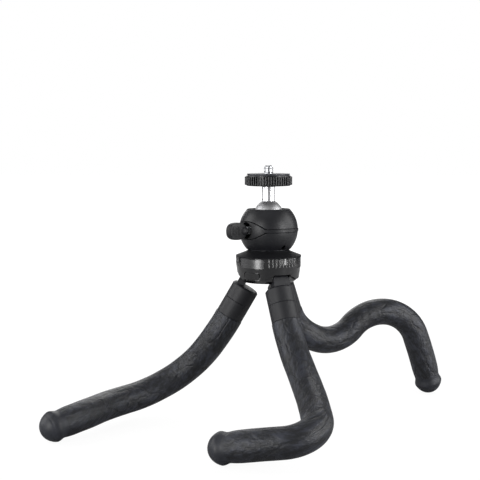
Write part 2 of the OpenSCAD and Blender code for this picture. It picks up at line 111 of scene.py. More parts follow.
class TripodHeadSizes(bpy.types.PropertyGroup):
    """Sizes of the ball head's turned and ribbed pieces"""

    ring_ribs: bpy.props.IntProperty(
        name="Ring ribs", description="Number of ribs round the lock ring", default=56, min=12
    )
    rib_radius: length_property("Rib radius", "Radius of a rib of the lock ring", 0.5 * MM)
    wing_ribs: bpy.props.IntProperty(
        name="Wing ribs", description="Number of ribs on each side of the wing", default=6, min=2
    )
    stem_radius: length_property("Stem radius", "Radius of the ball's stem", 4.4 * MM)
    camera_pitch: length_property("Camera thread", "Pitch of the camera screw", 1.27 * MM)
    lock_pitch: length_property("Lock thread", "Pitch of the lock screw", 0.8 * MM)


class TripodColours(bpy.types.PropertyGroup):
    """Colours of the finishes"""

    rubber: colour_property("Rubber", "Charcoal of the rubber legs", (0.0134, 0.0147, 0.0200))
    plastic: colour_property("Plastic", "Satin black of the moulded pieces", (0.0068, 0.0070, 0.0088))
    gloss: colour_property("Gloss", "Black of the smooth side plates", (0.008, 0.008, 0.0095))
    chrome: colour_property("Chrome", "Chrome of the ball and its stem", (0.80, 0.80, 0.82))
    steel: colour_property("Steel", "Steel of the screws and pins", (0.52, 0.53, 0.55))
    nylon: colour_property("Nylon", "Off-white of the cup and the brake pad", (0.72, 0.71, 0.66))
    floor: colour_property("Floor", "Pale floor", (0.36, 0.36, 0.36))


class TripodView(bpy.types.PropertyGroup):
    """Camera and studio of the photograph"""

    distance: length_property("Distance", "Distance of the camera from its target", 0.700)
    elevation: bpy.props.FloatProperty(
        name="Elevation",
        description="Angle by which the camera looks down",
        default=math.radians(6),
        subtype="ANGLE",
    )
    target_height: length_property("Target height", "Height of the camera's target", 0.111)
    target_x: bpy.props.FloatProperty(
        name="Target x", description="Column of the target in the picture, in pixels", default=268.5
    )
    target_y: bpy.props.FloatProperty(
        name="Target y", description="Row of the target in the picture, in pixels", default=256.0
    )
    picture: bpy.props.FloatProperty(
        name="Picture", description="Width and height of the picture, in pixels", default=480.0
    )
    pixel: length_property("Pixel", "Size of a pixel at the target", 0.675 * MM)


class TripodSettings(bpy.types.PropertyGroup):
    """Everything that a user would change on the tripod"""

    legs: bpy.props.PointerProperty(type=TripodLegSizes, name="Legs", description="Leg sizes")
    head: bpy.props.PointerProperty(type=TripodHeadSizes, name="Head", description="Head sizes")
    colours: bpy.props.PointerProperty(type=TripodColours, name="Colours", description="Finishes")
    view: bpy.props.PointerProperty(type=TripodView, name="View", description="Camera and studio")


def settings():
    return bpy.context.scene.tripod


# Shader expressions


class Value:
    """An output socket of a shader: arithmetic on it adds Math nodes."""

    def __init__(self, shader, socket):
        self.shader = shader
        self.socket = socket

    def math(self, operation, *values):
        return self.shader.add("ShaderNodeMath", {"operation": operation}, dict(enumerate(values)))

    def __add__(self, other):
        return self.math("ADD", self, other)

    def __radd__(self, other):
        return self.math("ADD", other, self)

    def __sub__(self, other):
        return self.math("SUBTRACT", self, other)

    def __rsub__(self, other):
        return self.math("SUBTRACT", other, self)

    def __mul__(self, other):
        return self.math("MULTIPLY", self, other)

    def __rmul__(self, other):
        return self.math("MULTIPLY", other, self)


class Shader:
    """A material's node tree with one Principled shader."""

    def __init__(self, name):
        self.material = bpy.data.materials.new(name)
        self.material.use_nodes = True
        self.tree = self.material.node_tree
        self.surface = self.tree.nodes["Principled BSDF"]

    def add(self, kind, node_settings=None, inputs=None, output=0):
        node = self.tree.nodes.new(kind)
        for name, value in (node_settings or {}).items():
            setattr(node, name, value)
        for key, value in (inputs or {}).items():
            self.feed(node.inputs[key], value)
        return Value(self, node.outputs[output])

    def feed(self, socket, value):
        if isinstance(value, Value):
            self.tree.links.new(value.socket, socket)
        else:
            socket.default_value = value

    def place(self):
        return self.add("ShaderNodeTexCoord", output="Object")

    def attribute(self, name):
        return self.add("ShaderNodeAttribute", {"attribute_name": name}, output="Vector")

    def vector(self, operation, first, second, output="Vector"):
        inputs = {0: first, 1: second}
        return self.add("ShaderNodeVectorMath", {"operation": operation}, inputs, output)

    def length(self, vector):
        return self.add("ShaderNodeVectorMath", {"operation": "LENGTH"}, {0: vector}, "Value")

    def height(self, place):
        return self.add("ShaderNodeSeparateXYZ", None, {0: place}, "Z")

    def stretch(self, vector, factors):
        return self.vector("MULTIPLY", vector, factors)

    def warp(self, vector, by, amount):
        centred = self.vector("SUBTRACT", by, (0.5, 0.5, 0.5))
        return self.vector("ADD", vector, self.stretch(centred, (amount, amount, amount)))

    def noise(self, vector, scale, detail=2.0, output="Fac"):
        inputs = {"Vector": vector, "Scale": scale, "Detail": detail}
        return self.add("ShaderNodeTexNoise", None, inputs, output)

    def cells(self, vector, scale):
        """Distance from the borders of irregular cells"""
        inputs = {"Vector": vector, "Scale": scale}
        return self.add("ShaderNodeTexVoronoi", {"feature": "DISTANCE_TO_EDGE"}, inputs, "Distance")

    def ramp(self, value, low, high, low_to=0.0, high_to=1.0):
        inputs = {"Value": value, "From Min": low, "From Max": high, "To Min": low_to, "To Max": high_to}
        return self.add("ShaderNodeMapRange", {"interpolation_type": "SMOOTHSTEP"}, inputs)

    def mix(self, factor, first, second):
        """Mix of two colours: sockets 0, 6 and 7 of the node are its factor and its colours"""
        inputs = {0: factor, 6: first, 7: second}
        return self.add("ShaderNodeMix", {"data_type": "RGBA"}, inputs, 2)

    def edges(self, radius):
        """Mask that is 1 on sharp edges, and the rounded normal that made it"""
        rounded = self.add("ShaderNodeBevel", {"samples": 6}, {"Radius": radius}, "Normal")
        plain = self.add("ShaderNodeNewGeometry", output="Normal")
        same = self.vector("DOT_PRODUCT", rounded, plain, "Value")
        return self.ramp(same, 0.98, 0.75), rounded

    def bump(self, height, strength, distance, normal=None):
        inputs = {"Height": height, "Strength": strength, "Distance": distance}
        if normal is not None:
            inputs["Normal"] = normal
        return self.add("ShaderNodeBump", None, inputs, "Normal")

    def finish(self, **sockets):
        for name, value in sockets.items():
            label = name.replace("_", " ").title().replace("Ior", "IOR")
            self.feed(self.surface.inputs[label], value)
        return self.material


def rgba(colour, gain=1.0):
    return tuple(min(1.0, channel * gain) for channel in colour[:3]) + (1.0,)


# Finishes


def leg_rubber():
    """Charcoal rubber with a flecked, fibrous relief that slants along the leg and faint leaf shapes"""
    shader = Shader("leg_rubber")
    rest = shader.attribute("leg_rest")
    drift = shader.noise(rest, 80, 2, "Color")
    flowing = shader.warp(shader.stretch(rest, (1, 1, 0.45)), drift, 0.006)
    scales = shader.cells(flowing, 120)
    outline = shader.ramp(scales, 0.0, 0.12)
    crown = shader.ramp(scales, 0.0, 0.5)
    slant = {"Vector": rest, "Rotation": (0.35, 0.25, 0)}
    slanted = shader.add("ShaderNodeMapping", None, slant, "Vector")
    flecks = shader.noise(shader.stretch(slanted, (1, 1, 0.35)), 420, 4)
    fibres = shader.noise(shader.stretch(slanted, (1, 1, 0.2)), 1100, 3)
    grain = shader.noise(rest, 2400, 2)
    cloud = shader.noise(rest, 60, 3)
    colour = settings().colours.rubber
    worn = crown * 0.12 + flecks * 0.6 + fibres * 0.3 + cloud * 0.2
    tint = shader.mix(shader.ramp(worn, 0.47, 0.75), rgba(colour, 0.35), rgba(colour, 1.85))
    tint = shader.mix((1 - outline) * 0.35, tint, rgba(colour, 0.45))
    height = outline * 0.42 + crown * 0.5 + flecks * 1.2 + fibres * 0.75 + grain * 0.14
    return shader.finish(
        base_color=tint,
        roughness=0.44 + fibres * 0.2 - flecks * 0.08,
        specular_ior_level=0.38,
        normal=shader.bump(height, 0.8, 0.5 * MM),
    )


def foot_rubber():
    """Smoother charcoal rubber of the foot caps and the pad, with a fine grain and scuffs"""
    shader = Shader("foot_rubber")
    place = shader.place()
    grain = shader.noise(place, 2200, 3)
    scuffs = shader.noise(shader.stretch(place, (1, 1, 0.3)), 320, 4)
    colour = settings().colours.rubber
    tint = shader.mix(shader.ramp(scuffs, 0.35, 0.75), rgba(colour, 0.78), rgba(colour, 1.25))
    return shader.finish(
        base_color=tint,
        roughness=0.44 + scuffs * 0.2,
        specular_ior_level=0.4,
        normal=shader.bump(grain, 0.25, 0.12 * MM),
    )


def satin_plastic(name, gain, gloss, edge, shine, dull_top=None):
    """Moulded satin black plastic with a fine spark texture and rubbed edges, rougher above a height"""
    shader = Shader(name)
    place = shader.place()
    if dull_top is not None:
        gloss = gloss + shader.ramp(shader.height(place), dull_top - 0.6 * MM, dull_top) * 0.45
    spark = shader.noise(place, 3200, 2)
    cloud = shader.noise(place, 90, 3)
    rubbed, rounded = shader.edges(edge * MM)
    colour = settings().colours.plastic
    tint = shader.mix(cloud, rgba(colour, 0.8 * gain), rgba(colour, 1.25 * gain))
    tint = shader.mix(rubbed * 0.55, tint, rgba(colour, 3.2 * gain))
    return shader.finish(
        base_color=tint,
        roughness=gloss + spark * 0.10 + cloud * 0.06 - rubbed * 0.06,
        specular_ior_level=shine,
        normal=shader.bump(spark, 0.16, 0.06 * MM, rounded),
    )


def boss_plastic():
    """Satin black plastic of the clamp band, rougher in the boss round the lock screw and darkened there
    with painted shade of the screw's recess
    """
    shader = Shader("band_plastic")
    place = shader.place()
    spark = shader.noise(place, 3200, 2)
    axis = JOINTS["lock_turn"]
    centre, out = Vector(axis["pos_m"]), Vector(axis["axis"]).normalized()
    offset = shader.vector("SUBTRACT", place, centre)
    away = shader.length(shader.vector("CROSS_PRODUCT", offset, out))
    # Mask round the lock screw: it carries painted shade of the recess into the colour, and more
    # roughness
    recess_shade_and_roughness = shader.ramp(away + spark * 0.6 * MM, 7.6 * MM, 5.4 * MM)
    rubbed, rounded = shader.edges(0.3 * MM)
    colour = settings().colours.plastic
    tint = shader.mix(spark, rgba(colour, 0.85), rgba(colour, 1.2))
    tint = shader.mix(rubbed * 0.55, tint, rgba(colour, 3.2))
    # Painted shade: the plastic round the lock screw is darkened to a quarter of its colour
    tint = shader.mix(recess_shade_and_roughness, tint, rgba(colour, 0.25))
    return shader.finish(
        base_color=tint,
        roughness=0.38 + spark * 0.10 + recess_shade_and_roughness * 0.3,
        specular_ior_level=0.3,
        normal=shader.bump(spark, 0.16, 0.06 * MM, rounded),
    )


def gloss_plastic():
    """Glossy black plates with fine brushed lines that run round the base"""
    shader = Shader("plate_gloss")
    place = shader.place()
    lines = shader.noise(shader.stretch(place, (0.03, 0.03, 1)), 5200, 2)
    cloud = shader.noise(place, 120, 2)
    rubbed, rounded = shader.edges(0.2 * MM)
    colour = settings().colours.gloss
    tint = shader.mix(lines, rgba(colour, 0.7), rgba(colour, 1.5))
    tint = shader.mix(rubbed * 0.5, tint, rgba(colour, 3.0))
    return shader.finish(
        base_color=tint,
        roughness=0.18 + lines * 0.12 + cloud * 0.05,
        specular_ior_level=0.95,
        normal=shader.bump(lines, 0.12, 0.03 * MM, rounded),
    )


def chrome():
    """Chrome with faint turning lines and a soft haze, darker and more satin on the ball"""
    shader = Shader("ball_chrome")
    place = shader.place()
    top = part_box("ball_stem")[1].z
    satin = shader.ramp(shader.height(place), top - 9.2 * MM, top - 10.2 * MM)
    lines = shader.noise(shader.stretch(place, (0.02, 0.02, 1)), 6000, 2)
    haze = shader.noise(place, 160, 3)
    colour = settings().colours.chrome
    tint = shader.mix(haze, rgba(colour, 0.92), rgba(colour, 1.05))
    tint = shader.mix(satin, tint, rgba(colour, 0.5))
    return shader.finish(
        base_color=tint,
        metallic=1.0,
        roughness=0.24 + haze * 0.05 + lines * 0.03 + satin * 0.22,
        normal=shader.bump(lines, 0.05, 0.02 * MM),
    )


def turned_steel(name, gain, rough):
    """Bright turned steel with fine lines and slightly darker patches"""
    shader = Shader(name)
    place = shader.place()
    lines = shader.noise(place, 4200, 3)
    patches = shader.noise(place, 240, 3)
    colour = settings().colours.steel
    tint = shader.mix(patches, rgba(colour, 0.78 * gain), rgba(colour, 1.2 * gain))
    return shader.finish(
        base_color=tint,
        metallic=1.0,
        roughness=rough + lines * 0.14,
        normal=shader.bump(lines, 0.1, 0.03 * MM),
    )


def nylon():
    """Slightly waxy off-white nylon"""
    shader = Shader("nylon")
    place = shader.place()
    cloud = shader.noise(place, 180, 3)
    grain = shader.noise(place, 2600, 2)
    colour = settings().colours.nylon
    tint = shader.mix(cloud, rgba(colour, 0.88), rgba(colour, 1.06))
    return shader.finish(
        base_color=tint,
        roughness=0.42 + grain * 0.15,
        normal=shader.bump(grain, 0.12, 0.05 * MM),
    )


# Share of the plastic's colour, roughness, radius of the rubbed edges in millimetres, and shine.
SATIN_PLASTICS = {
    "housing_plastic": {
        "gain": 1.0, "gloss": 0.36, "edge": 0.3, "shine": 0.34,
        "dull_top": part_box("upper_shell")[1].z - 0.1 * MM,
    },
    "cone_plastic": {"gain": 0.6, "gloss": 0.66, "edge": 0.3, "shine": 0.12},
    "collar_plastic": {"gain": 0.4, "gloss": 0.12, "edge": 0.25, "shine": 0.68},
    "knuckle_plastic": {"gain": 1.15, "gloss": 0.47, "edge": 0.3, "shine": 0.36},
    "ring_plastic": {"gain": 0.6, "gloss": 0.26, "edge": 0.15, "shine": 0.45},
    "wing_plastic": {"gain": 0.8, "gloss": 0.44, "edge": 0.2, "shine": 0.3},
}
# Share of the steel's colour and roughness.
METALS = {
    "screw_steel": {"gain": 1.0, "rough": 0.24},
    # The lock screw's steel carries painted shade: the screw steel at half its colour, for the shade of
    # the recess it sits in
    "shaded_lock_steel": {"gain": 0.5, "rough": 0.26},
    "small_steel": {"gain": 0.85, "rough": 0.32},
    "wire_aluminium": {"gain": 1.1, "rough": 0.34},
}
OTHER_FINISHES = {
    "leg_rubber": leg_rubber,
    "foot_rubber": foot_rubber,
    "band_plastic": boss_plastic,
    "plate_gloss": gloss_plastic,
    "ball_chrome": chrome,
    "nylon": nylon,
}
FINISHES = {}


def finish(name):
    """The material of that name, made once"""
    if name not in FINISHES:
        if name in SATIN_PLASTICS:
            FINISHES[name] = satin_plastic(name, **SATIN_PLASTICS[name])
        elif name in METALS:
            FINISHES[name] = turned_steel(name, **METALS[name])
        else:
            FINISHES[name] = OTHER_FINISHES[name]()
    return FINISHES[name]


# Mesh tools


def new_piece(name, mesh, material):
    piece = bpy.data.objects.new(name, mesh)
    bpy.context.scene.collection.objects.link(piece)
    mesh.materials.clear()
    mesh.materials.append(finish(material))
    return piece


def settle(piece, body, slot, *nodes):
    """Puts a rigid piece on its body in place of its solids"""
    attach(piece, body)
    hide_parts(*nodes)


def closed_mesh(name, shape, sharp):
    """Mesh of a finished shape: faces outward, smooth up to an angle in degrees"""
    bmesh.ops.recalc_face_normals(shape, faces=shape.faces)
    for face in shape.faces:
        face.smooth = True
    mesh = bpy.data.meshes.new(name)
    shape.to_mesh(mesh)
    shape.free()
    mesh.set_sharp_from_angle(angle=math.radians(sharp))
    return mesh


def full_turn(steps):
    return [2 * math.pi * step / steps for step in range(steps)]


def lathe(name, profile, steps):
    """Closed solid of revolution about Z from (radius, height) points that start and end on the axis"""
    shape = bmesh.new()
    rings = []
    for radius, height in profile:
        if radius < AXIS_RADIUS:
            rings.append([shape.verts.new((0, 0, height))])
        else:
            spots = [(radius * math.cos(a), radius * math.sin(a), height) for a in full_turn(steps)]
            rings.append([shape.verts.new(spot) for spot in spots])
    for low, high in zip(rings, rings[1:]):
        for step in range(steps):
            after = (step + 1) % steps
            corners = [low[step % len(low)], low[after % len(low)]]
            corners += [high[after % len(high)], high[step % len(high)]]
            shape.faces.new(list(dict.fromkeys(corners)))
    return closed_mesh(name, shape, LATHE_SHARP)


def open_lathe(name, profile, steps=128):
    """Closed ring of revolution about Z: the profile's last point joins its first"""
    shape = bmesh.new()
    angles = full_turn(steps)
    rings = [[shape.verts.new((r * math.cos(a), r * math.sin(a), z)) for a in angles] for r, z in profile]
    for low, high in zip(rings, rings[1:] + rings[:1]):
        for step in range(steps):
            after = (step + 1) % steps
            shape.faces.new((low[step], low[after], high[after], high[step]))
    return closed_mesh(name, shape, LATHE_SHARP)


def arc(centre, radius, start, end, steps):
    """Points of an arc in (radius, height), from one angle in degrees to another"""
    angles = [math.radians(start + (end - start) * step / steps) for step in range(steps + 1)]
    return [(centre[0] + radius * math.cos(a), centre[1] + radius * math.sin(a)) for a in angles]


# Legs


def turn(axis, degrees):
    return Matrix.Rotation(math.radians(degrees), 4, axis)


def along(bend, length):
    """Move along an arc of a bend in degrees over a stretch, after a length of it"""
    stretch = settings().legs.stretch_length
    if bend == 0:
        return Matrix.Translation((0, 0, length))
    radius = stretch / math.radians(bend)
    angle = bend * length / stretch
    turned = math.radians(angle)
    place = Vector((radius * (1 - math.cos(turned)), 0, radius * math.sin(turned)))
    return Matrix.Translation(place) @ turn("Y", angle)


def stretch_move(step, length):
    bend, roll = step
    return turn("Z", roll) @ along(bend, length) @ turn("Z", -roll)


class LegPath:
    """Centreline of a leg: its frame in the tripod at a length from the ferrule's end"""

    def __init__(self, leg):
        sizes = settings().legs
        self.bends = LEG_BENDS[leg]
        self.stretch = sizes.stretch_length
        self.starts = [Matrix.Translation((-sizes.leg_offset, 0, sizes.ferrule_length))]
        for step in self.bends:
            self.starts.append(self.starts[-1] @ stretch_move(step, self.stretch))
        self.root = self.hinge_frame(leg)
        self.length = STRETCHES * self.stretch

    def hinge_frame(self, leg):
        """Frame at the pin, turned so that the first bend joint lies where the solids have it"""
        hinge = JOINTS[leg + "_spread"]
        pin = Vector(hinge["pos_m"])
        axis = Vector(hinge["axis"]).normalized()
        down = Vector((0, 0, -1))
        outward = axis.cross(down)
        folded = Matrix((outward, axis, down)).transposed().to_4x4()
        before = folded @ self.starts[1].translation
        after = Vector(JOINTS[leg + "_bend_1"]["pos_m"]) - pin
        before -= axis * before.dot(axis)
        after -= axis * after.dot(axis)
        spread = math.atan2(axis.dot(before.cross(after)), before.dot(after))
        return Matrix.Translation(pin) @ Matrix.Rotation(spread, 4, axis) @ folded

    def at(self, length):
        stretch = min(STRETCHES - 1, max(0, int(length / self.stretch)))
        part = length - stretch * self.stretch
        return self.root @ self.starts[stretch] @ stretch_move(self.bends[stretch], part)


def rubber_radius(length, total):
    """Radius of the rubber: rounded where it meets the ferrule and drawn in at the foot"""
    radius = settings().legs.rubber_radius
    lip, neck, drawn_in = 0.5 * MM, 8 * MM, 0.55 * MM
    if length < lip:
        return radius - lip + math.sqrt(max(0.0, lip**2 - (lip - length) ** 2))
    share = max(0.0, 1 - (total - length) / neck)
    return radius - drawn_in * share * share


def skin_piece(name, path, start, end):
    """Closed length of the rubber between two lengths of the leg, with its straight place kept"""
    swell, sides = settings().legs.swell, RUBBER_SIDES
    girth, waves = 9.6, 0.09  # radius in millimetres on which the swell runs, and its waves a millimetre
    mesh = bpy.data.meshes.new(name)
    steps = max(2, round((end - start) / SKIN_PITCH))
    stations = [start + (end - start) * step / steps for step in range(steps + 1)]
    if start == 0:
        stations[1:1] = [0.1 * MM, 0.25 * MM, 0.5 * MM]
    points, straight, normals = [], [], []
    for length in stations:
        place = path.at(length)
        for side in range(sides):
            angle = 2 * math.pi * side / sides
            ray = Vector((math.cos(angle), math.sin(angle), 0))
            spot = Vector((ray.x * girth, ray.y * girth, length / MM))
            radius = rubber_radius(length, path.length) + swell * noise.noise(spot * waves)
            points.append(place @ (ray * radius))
            straight.append((ray.x * radius, ray.y * radius, length))
            normals.append((place.to_3x3() @ ray).normalized())
    faces = []
    for ring in range(len(stations) - 1):
        for side in range(sides):
            after = (side + 1) % sides
            low, high = ring * sides, (ring + 1) * sides
            faces.append((low + side, low + after, high + after, high + side))
    last = (len(stations) - 1) * sides
    faces.append(tuple(reversed(range(sides))))
    faces.append(tuple(last + side for side in range(sides)))
    mesh.from_pydata(points, [], faces)
    mesh.polygons.foreach_set("use_smooth", [True] * (len(faces) - 2) + [False, False])
    rest = mesh.attributes.new("leg_rest", "FLOAT_VECTOR", "POINT")
    for item, place in zip(rest.data, straight):
        item.vector = place
    mesh.update()
    corner_normals = []
    for polygon in mesh.polygons:
        for vertex in polygon.vertices:
            corner_normals.append(normals[vertex] if polygon.use_smooth else polygon.normal)
    mesh.normals_split_custom_set(corner_normals)
    return new_piece(name, mesh, "leg_rubber")


def bend_reach(piece_mesh, path, joint_length, ends):
    """Longest distance from a bend joint along the leg that stays short of both ends of its rubber"""
    place = path.at(joint_length)
    ray = place.to_3x3() @ Vector((0, 0, 1))
    reach, short = 9 * MM, 0.95
    vertices = list(piece_mesh.vertices)
    for ring in ends:
        for vertex in vertices[ring : ring + RUBBER_SIDES]:
            reach = min(reach, abs((vertex.co - place.translation).dot(ray)))
    return place.translation, ray * reach * short


class TRIPOD_OT_leg_rubber(bpy.types.Operator):
    """Makes the rubber of each leg, one piece across each bend joint"""

    bl_idname = "tripod.leg_rubber"
    bl_label = "Leg rubber"

    def execute(self, context):
        for leg in LEGS:
            path = LegPath(leg)
            stretch = path.stretch
            for joint in range(1, STRETCHES):
                start = 0 if joint == 1 else (joint - 0.5) * stretch
                end = path.length if joint == STRETCHES - 1 else (joint + 0.5) * stretch
                piece = skin_piece(f"{leg}_rubber_{joint}", path, start, end)
                count = len(piece.data.vertices)
                centre, reach = bend_reach(piece.data, path, joint * stretch, (0, count - RUBBER_SIDES))
                centre - reach
                centre + reach
                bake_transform(piece)
                nodes = [f"{leg}_sleeve_{joint + 1}"]
                if joint == 1:
                    nodes.append(f"{leg}_sleeve_1")
                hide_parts(*nodes)
        return {"FINISHED"}


class TRIPOD_OT_feet(bpy.types.Operator):
    """Makes the foot caps: a flared neck and a flattened dome with a fine groove"""

    bl_idname = "tripod.feet"
    bl_label = "Feet"

    def execute(self, context):
        sizes = settings().legs
        radius, band = sizes.foot_radius, sizes.foot_band
        neck, groove, step_up = radius - 1.0 * MM, 0.15 * MM, 0.2 * MM
        rim, tip, slope = band + 1.5 * MM, band + radius, 18
        profile = [(0, 0)]
        for step in range(13):
            share = step / 12
            flare = max(0.0, (share - 0.25) / 0.75)
            profile.append((neck + (radius - neck) * flare**2 * (3 - 2 * flare), rim * share))
        low = math.sin(math.radians(slope))
        for out, height in arc((0, 0), radius / math.cos(math.radians(slope)), slope, 88, 30):
            rise = (height * math.cos(math.radians(slope)) / radius - low) / (1 - low)
            sunk = groove if 0.36 < rise < 0.44 else 0
            profile.append((out - sunk, rim + step_up + (tip - rim - step_up) * rise))
        profile += [(0, tip)]
        for leg in LEGS:
            path = LegPath(leg)
            mesh = lathe(leg + "_foot_cap", profile, 112)
            mesh.transform(path.root @ path.starts[STRETCHES])
            foot = new_piece(leg + "_foot_cap", mesh, "foot_rubber")
            settle(foot, f"{leg}_{STRETCHES}", "foot_rubber", leg + "_foot")
        return {"FINISHED"}


# Geometry node trees


class NodeTree:
    """A geometry node tree with named inputs, built one node at a time"""

    def __init__(self, name):
        self.tree = bpy.data.node_groups.new(name, "GeometryNodeTree")
        self.tree.interface.new_socket("Geometry", in_out="INPUT", socket_type="NodeSocketGeometry")
        self.tree.interface.new_socket("Geometry", in_out="OUTPUT", socket_type="NodeSocketGeometry")
        self.source = self.tree.nodes.new("NodeGroupInput")
        self.target = self.tree.nodes.new("NodeGroupOutput")
        self.values = {}

    def input(self, name, kind, value):
        socket = self.tree.interface.new_socket(name, in_out="INPUT", socket_type=kind)
        self.values[socket.identifier] = value
        return self.source.outputs[name]

    def add(self, kind, node_settings=None, inputs=None, output=0):
        node = self.tree.nodes.new(kind)
        for name, value in (node_settings or {}).items():
            setattr(node, name, value)
        for key, value in (inputs or {}).items():
            values = value if isinstance(value, list) else [value]
            for item in values:
                if isinstance(item, bpy.types.NodeSocket):
                    self.tree.links.new(item, node.inputs[key])
                else:
                    node.inputs[key].default_value = item
        return node.outputs[output]

    def math(self, operation, first, second):
        return self.add("ShaderNodeMath", {"operation": operation}, {0: first, 1: second})

    def mesh(self, name, base_mesh, shape, material):
        """Runs the tree on a mesh and returns the result as a plain mesh"""
        real = self.add("GeometryNodeRealizeInstances", None, {0: shape})
        painted = self.add("GeometryNodeSetMaterial", None, {0: real, "Material": finish(material)})
        self.tree.links.new(painted, self.target.inputs[0])
        carrier = bpy.data.objects.new(name + "_carrier", base_mesh)
        bpy.context.scene.collection.objects.link(carrier)
        modifier = carrier.modifiers.new("shape", "NODES")
        modifier.node_group = self.tree
        for identifier, value in self.values.items():
            modifier[identifier] = value
        evaluated = carrier.evaluated_get(bpy.context.evaluated_depsgraph_get())
        result = bpy.data.meshes.new_from_object(evaluated)
        result.name = name
        result.polygons.foreach_set("use_smooth", [True] * len(result.polygons))
        result.set_sharp_from_angle(angle=math.radians(38))
        bpy.data.objects.remove(carrier)
        return result


def ribbed_ring(name, body, radius, height, base_z, count, rib_radius, material):
    """A lathe body with upright round ribs all round it"""
    tree = NodeTree(name + "_ribs")
    count_in = tree.input("Ribs", "NodeSocketInt", count)
    radius_in = tree.input("Radius", "NodeSocketFloat", radius)
    height_in = tree.input("Height", "NodeSocketFloat", height)
    rib_in = tree.input("Rib radius", "NodeSocketFloat", rib_radius)
    lift_in = tree.input("Lift", "NodeSocketFloat", base_z + height / 2)
    circle = tree.add("GeometryNodeMeshCircle", None, {"Vertices": count_in, "Radius": radius_in})
    rib = tree.add(
        "GeometryNodeMeshCylinder",
        {"fill_type": "TRIANGLE_FAN"},
        {"Vertices": 10, "Side Segments": 1, "Fill Segments": 1, "Radius": rib_in, "Depth": height_in},
    )
    ribs = tree.add("GeometryNodeInstanceOnPoints", None, {"Points": circle, "Instance": rib})
    place = tree.add("ShaderNodeCombineXYZ", None, {"Z": lift_in})
    lifted = tree.add("GeometryNodeTransform", None, {"Geometry": ribs, "Translation": place})
    joined = tree.add("GeometryNodeJoinGeometry", None, {0: [tree.source.outputs[0], lifted]})
    return tree.mesh(name, body, joined, material)


def threaded_rod(name, core, radius, pitch, length, material):
    """A lathe core with a raised right-hand thread that starts at height 0"""
    depth = THREAD_DEPTH * pitch
    tree = NodeTree(name + "_thread")
    pitch_in = tree.input("Pitch", "NodeSocketFloat", pitch)
    length_in = tree.input("Length", "NodeSocketFloat", length)
    radius_in = tree.input("Radius", "NodeSocketFloat", radius - depth)
    ridge_in = tree.input("Ridge", "NodeSocketFloat", depth)
    turns = tree.math("DIVIDE", length_in, pitch_in)
    helix = tree.add(
        "GeometryNodeCurveSpiral",
        None,
        {
            "Resolution": 40,
            "Rotations": turns,
            "Start Radius": radius_in,
            "End Radius": radius_in,
            "Height": length_in,
        },
    )
    profile = tree.add("GeometryNodeCurvePrimitiveCircle", None, {"Resolution": 6, "Radius": ridge_in})
    ridge = tree.add(
        "GeometryNodeCurveToMesh", None, {"Curve": helix, "Profile Curve": profile, "Fill Caps": True}
    )
    joined = tree.add("GeometryNodeJoinGeometry", None, {0: [tree.source.outputs[0], ridge]})
    return tree.mesh(name, core, joined, material)


# Head


class TRIPOD_OT_lock_ring(bpy.types.Operator):
    """Makes the ribbed lock ring and the rubber pad on it"""

    bl_idname = "tripod.lock_ring"
    bl_label = "Lock ring and pad"

    def execute(self, context):
        sizes = settings().head
        low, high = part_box("lock_ring")
        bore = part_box("camera_screw")[1].x + SCREW_ROOM
        radius, height, rib = high.x, high.z - low.z, sizes.rib_radius
        wall, edge, lower = radius - 2.2 * rib, 0.5 * MM, 0.9 * MM
        profile = [(bore, low.z), (wall - lower, low.z)]
        profile += arc((wall - lower, low.z + lower), lower, -90, 0, 8)
        profile += arc((wall - edge, high.z - edge), edge, 0, 90, 6)
        profile += [(bore, high.z)]
        body = open_lathe("lock_ring_body", profile)
        mesh = ribbed_ring(
            "lock_ring_ribbed", body, radius - rib, height - lower - edge, low.z + 0.8 * lower,
            sizes.ring_ribs, rib, "ring_plastic",
        )
        settle(new_piece("lock_ring_ribbed", mesh, "ring_plastic"), "ring", "ring_plastic", "lock_ring")
        low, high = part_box("ring_pad")
        rim, free = 0.4 * MM, 0.03 * MM
        profile = [(bore, low.z + free), (high.x, low.z + free)]
        profile += arc((high.x - rim, high.z - rim), rim, 0, 90, 6)
        grooves, first, pitch, half, deep = 5, 1.6 * MM, 1.7 * MM, 0.25 * MM, 0.2 * MM
        for groove in range(grooves):
            out = high.x - first - pitch * groove
            profile += [(out, high.z), (out - half, high.z - deep), (out - 2 * half, high.z)]
        profile += [(bore, high.z)]
        pad = new_piece("ring_pad_grooved", open_lathe("ring_pad_grooved", profile), "foot_rubber")
        settle(pad, "pad", "pad_rubber", "ring_pad")
        return {"FINISHED"}


